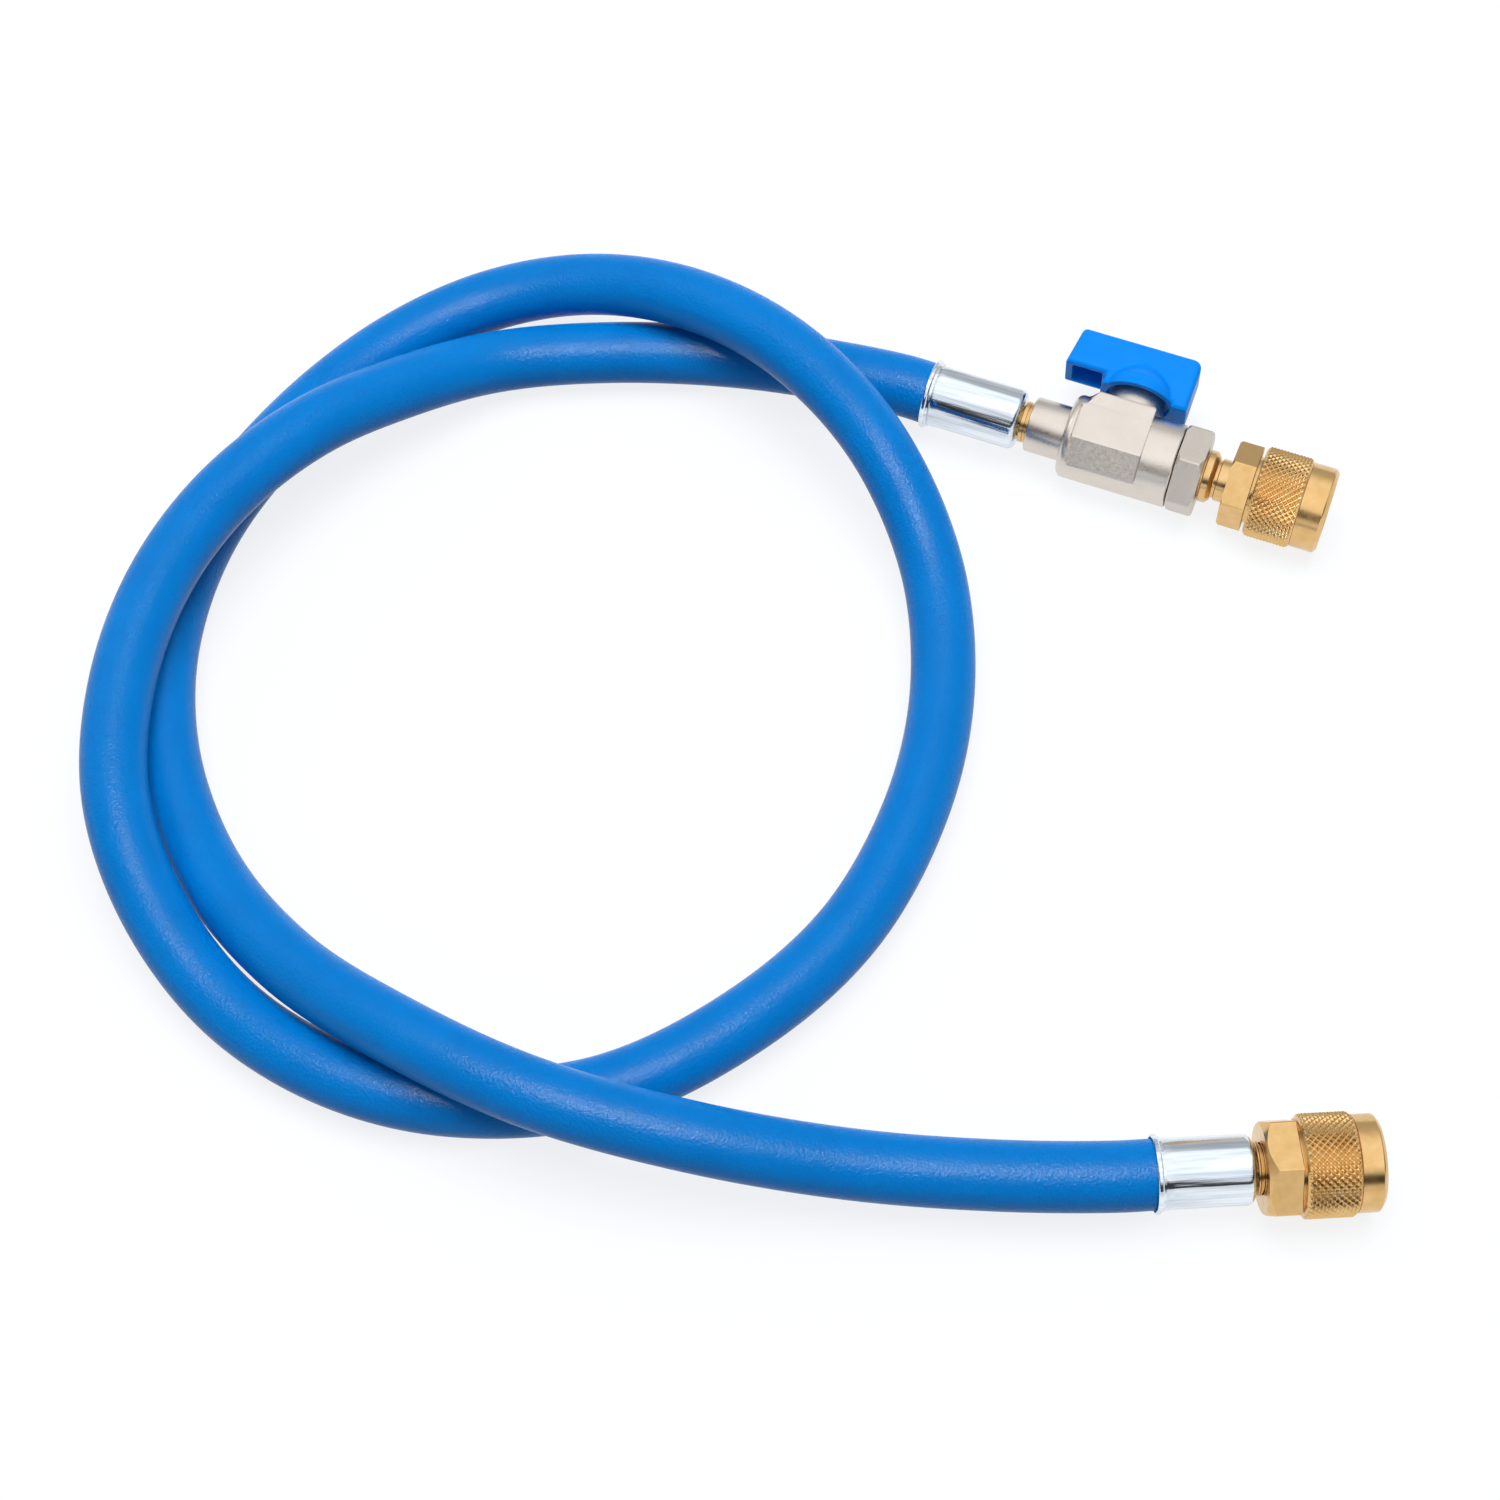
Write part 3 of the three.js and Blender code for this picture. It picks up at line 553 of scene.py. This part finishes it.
body_rings = [
    (VALVE_START, SOCKET_RADIUS),
    (VALVE_START, REAR_RADIUS - 0.45),
    (VALVE_START + 0.15, REAR_RADIUS - 0.15),
    (VALVE_START + 0.5, REAR_RADIUS),
    (SHOULDER_AT, REAR_RADIUS),
]
for a in (0, 15, 30, 45, 60, 75, 90):
    lean = math.radians(a)
    r = BODY_RADIUS - SHOULDER_RADIUS * (1 - math.sin(lean))
    body_rings.append((SHOULDER_AT + 0.02 + SHOULDER_RADIUS * (1 - math.cos(lean)), r))
body_rings += [
    (FLATS_FROM - 0.1, BODY_RADIUS),
    (lambda t: FLATS_FROM + corner_inset(t), lambda t: min(body_section(t), BODY_RADIUS)),
    (lambda t: FLATS_FROM + 0.35 + corner_inset(t) * 1.6, body_section),
    (FLATS_TO - 0.35, body_section),
    (FLATS_TO, lambda t: max(min(body_section(t), BODY_RADIUS), body_section(t) - 0.2)),
    (FLATS_TO + 0.02, lambda t: min(body_section(t), BODY_RADIUS)),
    (FLATS_TO + 0.3, BODY_RADIUS),
    (BODY_END - 0.2, BODY_RADIUS),
    (BODY_END, BODY_RADIUS - 0.2),
    (BODY_END, CHAMBER_RADIUS),
    (STEM_AT - CHAMBER_RADIUS, CHAMBER_RADIUS),
    (STEM_AT - CHAMBER_RADIUS, FLOW_RADIUS),
    (VALVE_START + 4, FLOW_RADIUS),
    (VALVE_START + 4, SOCKET_RADIUS),
]
rings = [ring(BODY_SIDES, 0, x, r) for x, r in body_rings]
valve = shell("valve_body_plated", rings, [nickel, forged], True, None, 25)
for face in valve.data.polygons:
    middle = face.center / MM
    lean = math.degrees(math.atan2(-middle.y, middle.z))
    if FLATS_FROM < middle.x < FLATS_TO - 0.3 and 26 < lean < 64 and middle.yz.length > 7:
        face.material_index = 1


def upright(name, profile, look, count=96):
    """A piece turned about the stem's axis, from (height, radius), in the valve's frame."""
    rings = []
    for y, r in profile:
        turns = [2 * math.pi * j / count for j in range(count)]
        rings.append([Vector((STEM_AT + math.sin(t) * r, y, math.cos(t) * r)) * MM for t in turns])
    return shell(name, rings, [look], False, None, 30)


def merge(piece, other, way):
    """Joins another piece to this one or cuts it away, and removes the other."""
    cutter = piece.modifiers.new("merge", "BOOLEAN")
    cutter.operation = way
    cutter.object = other
    cutter.solver = "EXACT"
    bpy.context.view_layer.update()
    whole = bpy.data.meshes.new_from_object(piece.evaluated_get(bpy.context.evaluated_depsgraph_get()))
    piece.modifiers.clear()
    piece.data = whole
    bpy.data.objects.remove(other)


bonnet_edge = [(BONNET_TOP - 0.5, BONNET_RADIUS), (BONNET_TOP - 0.15, BONNET_RADIUS - 0.15)]
bonnet = [(6.3, BONNET_RADIUS)] + bonnet_edge + [(BONNET_TOP, BONNET_RADIUS - 0.5)]
merge(valve, upright("bonnet", bonnet, nickel), "UNION")
stem_way = [(0.5, 3.7), (7.1, 3.7), (7.1, 2.7), (14, 2.7)]
merge(valve, upright("stem_way", stem_way, nickel, 48), "DIFFERENCE")
valve.data.set_sharp_from_angle(angle=math.radians(25))
valve.data.transform(valve_end)
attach(valve, "hose_assembly")
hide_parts("valve_body")

# Valve cap: hexagon bar, faintly rough from the plating, screwed into the body behind the front seat.
HEX_SIDES = 360
CAP_FROM = BODY_END + GAP
CAP_TO = CAP_FROM + 5.3
CAP_ACROSS = 16.2
CAP_ROLL = 15
CAP_SOCKET = 4.6
CAP_SOCKET_DEPTH = 4.6
CAP_BORE = 3.0
CAP_CHAMFER = 0.75
CAP_WORN = 0.12


def hexagon(across, worn):
    """Radius of a hexagon bar at an angle from one corner, with its corners turned down a little."""
    sixth = math.radians(60)
    most = across / 2 / math.cos(sixth / 2) - worn

    def radius(t):
        off = t % sixth - sixth / 2
        return min(across / 2 / math.cos(off), most)

    return radius


def chamfered(across, worn, start, depth, facing):
    """The ring where a cone meets the hexagon, as far along as the cone reaches each angle's radius."""
    radius = hexagon(across, worn)
    low = across / 2 / math.cos(math.radians(30)) - depth

    def along(t):
        return start + facing * max(0.0, radius(t) - low)

    return along, radius, low


near, nut, low = chamfered(CAP_ACROSS, CAP_WORN, CAP_FROM, CAP_CHAMFER, 1)
far = chamfered(CAP_ACROSS, CAP_WORN, CAP_TO, CAP_CHAMFER, -1)[0]
cap_rings = [
    (STEM_AT + CHAMBER_RADIUS, CAP_BORE),
    (STEM_AT + CHAMBER_RADIUS, CHAMBER_RADIUS - GAP),
    (CAP_FROM, CHAMBER_RADIUS - GAP),
    (CAP_FROM, lambda t: min(low, nut(t))),
    (near, nut),
    (far, nut),
    (CAP_TO, lambda t: min(low, nut(t))),
    (CAP_TO, CAP_SOCKET),
    (CAP_TO - CAP_SOCKET_DEPTH, CAP_SOCKET),
    (CAP_TO - CAP_SOCKET_DEPTH, CAP_BORE),
]
rings = [ring(HEX_SIDES, 0, x, r) for x, r in cap_rings]
cap_frame = valve_end @ Matrix.Rotation(math.radians(CAP_ROLL), 4, "X")
cap_plate = nickel_plate("nickel plate, faintly rough", ("#d4cbc1", "#c7beb3"), (0.32, 0.5), 0.35, 0.6)
cap = shell("valve_cap_plated", rings, [cap_plate], True, cap_frame, 20)
carded = bpy.data.collections.new("metal that the front card lights")
carded.objects.link(valve)
carded.objects.link(cap)
bpy.data.objects["front card"].light_linking.receiver_collection = carded
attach(cap, "hose_assembly")
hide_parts("valve_cap")

# Ball, seats and stem: inside the valve, as the CAD has them. The chromed ball turns between two PTFE
# rings; the stem is turned brass.
# Each catches the eye only through a socket: chrome as a mirror, PTFE as milky white, nitrile as dull black.
chrome, tree, shader = material("hard chrome, polished", "#d9dce0", 0.08, 1.0)
where = add(tree, "ShaderNodeTexCoord").outputs["Object"]
haze = add(tree, "ShaderNodeTexNoise", Vector=where, Scale=1 / (2 * MM), Detail=3.0)
rough = add(tree, "ShaderNodeMapRange", i0=haze.outputs["Fac"], i3=0.05, i4=0.14)
tree.links.new(rough.outputs[0], shader.inputs["Roughness"])
ptfe, tree, shader = material("PTFE, machined", "#efeee6", 0.5)
where = add(tree, "ShaderNodeTexCoord").outputs["Object"]
haze = add(tree, "ShaderNodeTexNoise", Vector=where, Scale=1 / (1.5 * MM), Detail=3.0)
bump = add(tree, "ShaderNodeBump", Strength=0.2, Distance=0.03 * MM, Height=haze.outputs["Fac"])
tree.links.new(bump.outputs[0], shader.inputs["Normal"])
nitrile, tree, shader = material("nitrile rubber, moulded", "#161616", 0.6)
where = add(tree, "ShaderNodeTexCoord").outputs["Object"]
haze = add(tree, "ShaderNodeTexNoise", Vector=where, Scale=1 / (0.6 * MM), Detail=3.0)
bump = add(tree, "ShaderNodeBump", Strength=0.3, Distance=0.04 * MM, Height=haze.outputs["Fac"])
tree.links.new(bump.outputs[0], shader.inputs["Normal"])
INSIDE = {
    "valve_ball": chrome,
    "valve_rear_seat": ptfe,
    "valve_front_seat": ptfe,
    "valve_stem": brass,
    "outlet_gasket": nitrile,
    "hose_end_gasket": nitrile,
    "outlet_core_depressor": brass,
}
for name, look in INSIDE.items():
    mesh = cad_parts[name].data
    mesh.materials.clear()
    mesh.materials.append(look)

# Lever: glass filled nylon, moulded in bright blue with soft edges. The paddle is hollow from below, the
# hub has a skirt round the bonnet, and the short end reaches down past it. It is pressed on the stem.
LEVER_LONG = 16.0
LEVER_SHORT = 10.3
LEVER_TOP = 21.9
LEVER_HALF = 4.5
PADDLE_BOTTOM = 13.5
HUB_BOTTOM = 11.2
END_BOTTOM = 10.3
HUB_RADIUS = 8.2
SKIRT_BORE = 6.5
LEVER_WALL = 1.3
LEVER_SLANT = 1.3
LEVER_CORNER = 1.8
LEVER_VOXEL = 0.2
# Nylon, moulded: a flat bright blue with a fine skin and a slight sheen along its soft edges.
nylon, tree, shader = material("nylon, moulded", "#008af2", 0.34)
shader.inputs["Specular IOR Level"].default_value = 0.12
where = add(tree, "ShaderNodeTexCoord").outputs["Object"]
skin = add(tree, "ShaderNodeTexNoise", Vector=where, Scale=1 / (0.5 * MM), Detail=3.0)
flow = add(tree, "ShaderNodeTexNoise", Vector=where, Scale=1 / (6 * MM), Detail=2.0)
rough = add(tree, "ShaderNodeMapRange", i0=flow.outputs["Fac"], i1=0.3, i2=0.7, i3=0.28, i4=0.42)
bump = add(tree, "ShaderNodeBump", Strength=0.25, Distance=0.03 * MM, Height=skin.outputs["Fac"])
tint = add(tree, "ShaderNodeMix", {"data_type": "RGBA"}, i0=flow.outputs["Fac"])
tint.inputs[6].default_value = linear("#008af4")
tint.inputs[7].default_value = linear("#0084ea")
tree.links.new(tint.outputs[2], shader.inputs["Base Color"])
tree.links.new(rough.outputs[0], shader.inputs["Roughness"])
tree.links.new(bump.outputs[0], shader.inputs["Normal"])


def slab(name, outline, half, inset):
    """A flat block from its outline of (along the lever, height), its side edges bevelled by the inset."""
    rings = []
    for z, shrink in ((-half, inset), (-half + inset, 0), (half - inset, 0), (half, inset)):
        points = []
        for k, p in enumerate(outline):
            before, after = Vector(outline[k - 1]), Vector(outline[(k + 1) % len(outline)])
            here = Vector(p)
            a, b = (here - before).normalized(), (after - here).normalized()
            normal = Vector((-a.y - b.y, a.x + b.x))
            push = shrink / max(0.5, 0.5 * normal.length) / max(normal.length, 1e-6)
            q = here + normal * push
            points.append(Vector((STEM_AT + q.x, q.y, z)) * MM)
        rings.append(points)
    return shell(name, rings, [nylon], False, None, 30)


def arc(x, y, radius, first, last, steps=6):
    angles = [math.radians(first + (last - first) * i / steps) for i in range(steps + 1)]
    return [(x + radius * math.cos(a), y + radius * math.sin(a)) for a in angles]


outline = [(-LEVER_LONG, PADDLE_BOTTOM), (-HUB_RADIUS + 0.6, PADDLE_BOTTOM), (-HUB_RADIUS + 0.6, HUB_BOTTOM)]
outline += [(6.9, HUB_BOTTOM), (6.9, END_BOTTOM), (LEVER_SHORT, END_BOTTOM)]
outline += arc(LEVER_SHORT - LEVER_CORNER, LEVER_TOP - LEVER_CORNER, LEVER_CORNER, 0, 90)
outline += arc(-LEVER_LONG + LEVER_SLANT + 0.9, LEVER_TOP - 1.0, 1.0, 90, 175, 4)
lever = slab("lever_moulded", outline, LEVER_HALF, 0.6)
hub = [(HUB_BOTTOM, 7.9), (12.8, 7.7), (14.2, 7.1), (15.4, 6.2), (16.5, 5.2), (17.6, 4.5), (19.5, 3.8)]
merge(lever, upright("hub", hub, nylon), "UNION")
merge(lever, upright("skirt_bore", [(9, SKIRT_BORE), (12.5, SKIRT_BORE)], nylon), "DIFFERENCE")
merge(lever, upright("stem_hole", [(11, 2.7), (18.3, 2.7)], nylon, 48), "DIFFERENCE")
pocket_end = -HUB_RADIUS - 0.1
pocket = [(-LEVER_LONG + LEVER_WALL, PADDLE_BOTTOM - 1), (pocket_end, PADDLE_BOTTOM - 1)]
pocket_top = LEVER_TOP - LEVER_WALL
pocket += [(pocket_end, pocket_top), (-LEVER_LONG + LEVER_SLANT + LEVER_WALL, pocket_top)]
merge(lever, slab("pocket", pocket, LEVER_HALF - LEVER_WALL, 0.3), "DIFFERENCE")
remesh = lever.modifiers.new("even", "REMESH")
remesh.mode = "VOXEL"
remesh.voxel_size = LEVER_VOXEL * MM
soften = lever.modifiers.new("soften", "SMOOTH")
soften.iterations = 5
bpy.context.view_layer.update()
moulded = bpy.data.meshes.new_from_object(lever.evaluated_get(bpy.context.evaluated_depsgraph_get()))
lever.modifiers.clear()
lever.data = moulded
moulded.materials.clear()
moulded.materials.append(nylon)
moulded.shade_smooth()
moulded.transform(valve_end)
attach(lever, "lever")
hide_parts("valve_handle")

# Outlet stem: turned brass, screwed into the cap up to its collar. Its head inside the coupler is what the
# coupler pulls on.
COLLAR_RADIUS = 5.3
COLLAR_FROM = CAP_TO + GAP
COLLAR_TO = COLLAR_FROM + 2.3
GROOVE_TO = COLLAR_TO + 0.6
OUTLET_BACK = GROOVE_TO + 2.1
outlet_head = OUTLET_BACK + BACK_WALL + GAP
stem_rings = [
    (CAP_TO - 4.3, FLOW_RADIUS),
    (CAP_TO - 4.3, COUPLER_NECK),
    (COLLAR_FROM, COUPLER_NECK),
    (COLLAR_FROM, COLLAR_RADIUS - 0.2),
    (COLLAR_FROM + 0.2, COLLAR_RADIUS),
    (COLLAR_TO - 0.9, COLLAR_RADIUS),
    (COLLAR_TO - 0.6, COLLAR_RADIUS - 0.2),
    (COLLAR_TO, COLLAR_RADIUS - 0.9),
    (COLLAR_TO + 0.03, 3.9),
    (GROOVE_TO - 0.03, 3.9),
    (GROOVE_TO, COUPLER_NECK - 0.15),
    (GROOVE_TO + 0.15, COUPLER_NECK),
    (outlet_head, COUPLER_NECK),
    (outlet_head, HEAD_RADIUS),
    (outlet_head + HEAD_LENGTH, HEAD_RADIUS),
    (outlet_head + HEAD_LENGTH, FLOW_RADIUS),
]
outlet = turned("outlet_stem_turned", stem_rings, brass, valve_end)
carded.objects.link(outlet)
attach(outlet, "hose_assembly")
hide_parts("outlet_stem")

# Swivel couplers: turned from hexagon brass bar, with a diamond knurl for the fingers and a flare thread
# inside. The two came from different makers' bars, so their hexagons and chamfers differ.
KNURL_RADIUS = 9.2
KNURL_BEVEL = 0.7
KNURL_ROUND = 42
KNURL_PITCH = 1.33
KNURL_DEPTH = 0.45
KNURL_LENGTH = 9.6
KNURL_GROOVE = 0.6
RING_RADIUS = 8.6
THREAD_RADIUS = 5.5
THREAD_PITCH = 1.27
THREAD_DEPTH = 0.4
THREAD_END = 10.5
COUPLER_SIDES = 336
ROW = KNURL_PITCH / 8
# Brass bar, turned and knurled: warm and bright, darker in the grooves of the knurl.
brass_bar, tree, shader = material("brass bar, turned and knurled", "#e0be8e", 0.2, 1.0)
where = add(tree, "ShaderNodeTexCoord").outputs["Object"]
own = add(tree, "ShaderNodeAttribute", {"attribute_name": OWN_AXES}).outputs["Vector"]
lines = add(tree, "ShaderNodeMapping", Vector=own, Scale=(1, 0.02, 0.02))
cut = add(tree, "ShaderNodeTexNoise", Vector=lines.outputs[0], Scale=1 / (BRASS_PITCH_MM * MM), Detail=2.0)
tarnish = add(tree, "ShaderNodeTexNoise", Vector=where, Scale=1 / (2.5 * MM), Detail=4.0)
rough = add(tree, "ShaderNodeMapRange", i0=tarnish.outputs["Fac"], i1=0.3, i2=0.7, i3=0.17, i4=0.27)
marks = add(tree, "ShaderNodeBump", Strength=0.08, Distance=0.03 * MM, Height=cut.outputs["Fac"])
tint = add(tree, "ShaderNodeMix", {"data_type": "RGBA"}, i0=tarnish.outputs["Fac"])
tint.inputs[6].default_value = linear("#e6c28a")
tint.inputs[7].default_value = linear("#d0a362")
tree.links.new(tint.outputs[2], shader.inputs["Base Color"])
tree.links.new(rough.outputs[0], shader.inputs["Roughness"])
tree.links.new(marks.outputs[0], shader.inputs["Normal"])


def wave(value):
    """0 on a whole number, rising evenly to 1 halfway to the next."""
    return 2 * abs(value - math.floor(value + 0.5))


def knurled(x, limit):
    def radius(t):
        turn = KNURL_ROUND * t / (2 * math.pi)
        u = wave(turn + x / KNURL_PITCH)
        v = wave(turn - x / KNURL_PITCH)
        return min(KNURL_RADIUS - KNURL_DEPTH * max(0.0, max(u, v) - 0.2) / 0.8, limit)

    return radius


def threaded(x):
    return lambda t: THREAD_RADIUS + THREAD_DEPTH * (1 - wave(x / THREAD_PITCH - t / (2 * math.pi)))


def coupler(name, node, body, fitting_frame, back, across, hex_length, ring_length, chamfer, roll):
    """A coupler from its back face along its fitting's axis, with its bore open at the front."""
    near, bar, low = chamfered(across, 0.1, back, chamfer, 1)
    hex_end = back + hex_length
    knurl_from = hex_end + KNURL_GROOVE
    knurl_to = knurl_from + KNURL_LENGTH
    front = knurl_to + ring_length
    groove = across / 2 - 0.8
    rows = [
        (back, COUPLER_NECK + GAP),
        (back, lambda t: min(low, bar(t))),
        (near, bar),
        (hex_end - 0.12, bar),
        (hex_end, lambda t: bar(t) - 0.15),
        (hex_end, groove),
        (knurl_from, groove),
        (knurl_from, KNURL_RADIUS - KNURL_BEVEL),
    ]
    count = round(KNURL_LENGTH / ROW)
    for i in range(1, count):
        x = KNURL_LENGTH * i / count
        limit = KNURL_RADIUS - max(0.0, KNURL_BEVEL - min(x, KNURL_LENGTH - x))
        rows.append((knurl_from + x, knurled(x, limit)))
    rows += [
        (knurl_to, KNURL_RADIUS - KNURL_BEVEL),
        (knurl_to + 0.02, RING_RADIUS),
        (front - 0.8, RING_RADIUS),
        (front - 0.55, RING_RADIUS - 0.12),
        (front, RING_RADIUS - 0.8),
        (front, THREAD_RADIUS + 0.7),
        (front - 0.7, THREAD_RADIUS),
    ]
    x = front - 0.9
    while x > back + THREAD_END + 0.1:
        rows.append((x, threaded(x)))
        x -= THREAD_PITCH / 8
    rows += [(back + THREAD_END, THREAD_RADIUS), (back + BACK_WALL, THREAD_RADIUS)]
    rows.append((back + BACK_WALL, COUPLER_NECK + GAP))
    rings = [ring(COUPLER_SIDES, 0, x, r) for x, r in rows]
    frame_here = fitting_frame @ Matrix.Rotation(math.radians(roll), 4, "X")
    piece = shell(name, rings, [brass_bar], True, frame_here, 24)
    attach(piece, body)
    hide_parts(node)
    return piece


outlet_nut = coupler(
    "outlet_coupler_knurled",
    "outlet_coupler",
    "outlet_coupler",
    valve_end,
    OUTLET_BACK,
    across=15.1,
    hex_length=4.9,
    ring_length=5.3,
    chamfer=0.5,
    roll=56,
)
carded.objects.link(outlet_nut)
coupler(
    "hose_coupler_knurled",
    "hose_end_coupler",
    "hose_end_coupler",
    hose_end,
    hose_back,
    across=16.2,
    hex_length=5.9,
    ring_length=4.4,
    chamfer=1.5,
    roll=24,
)
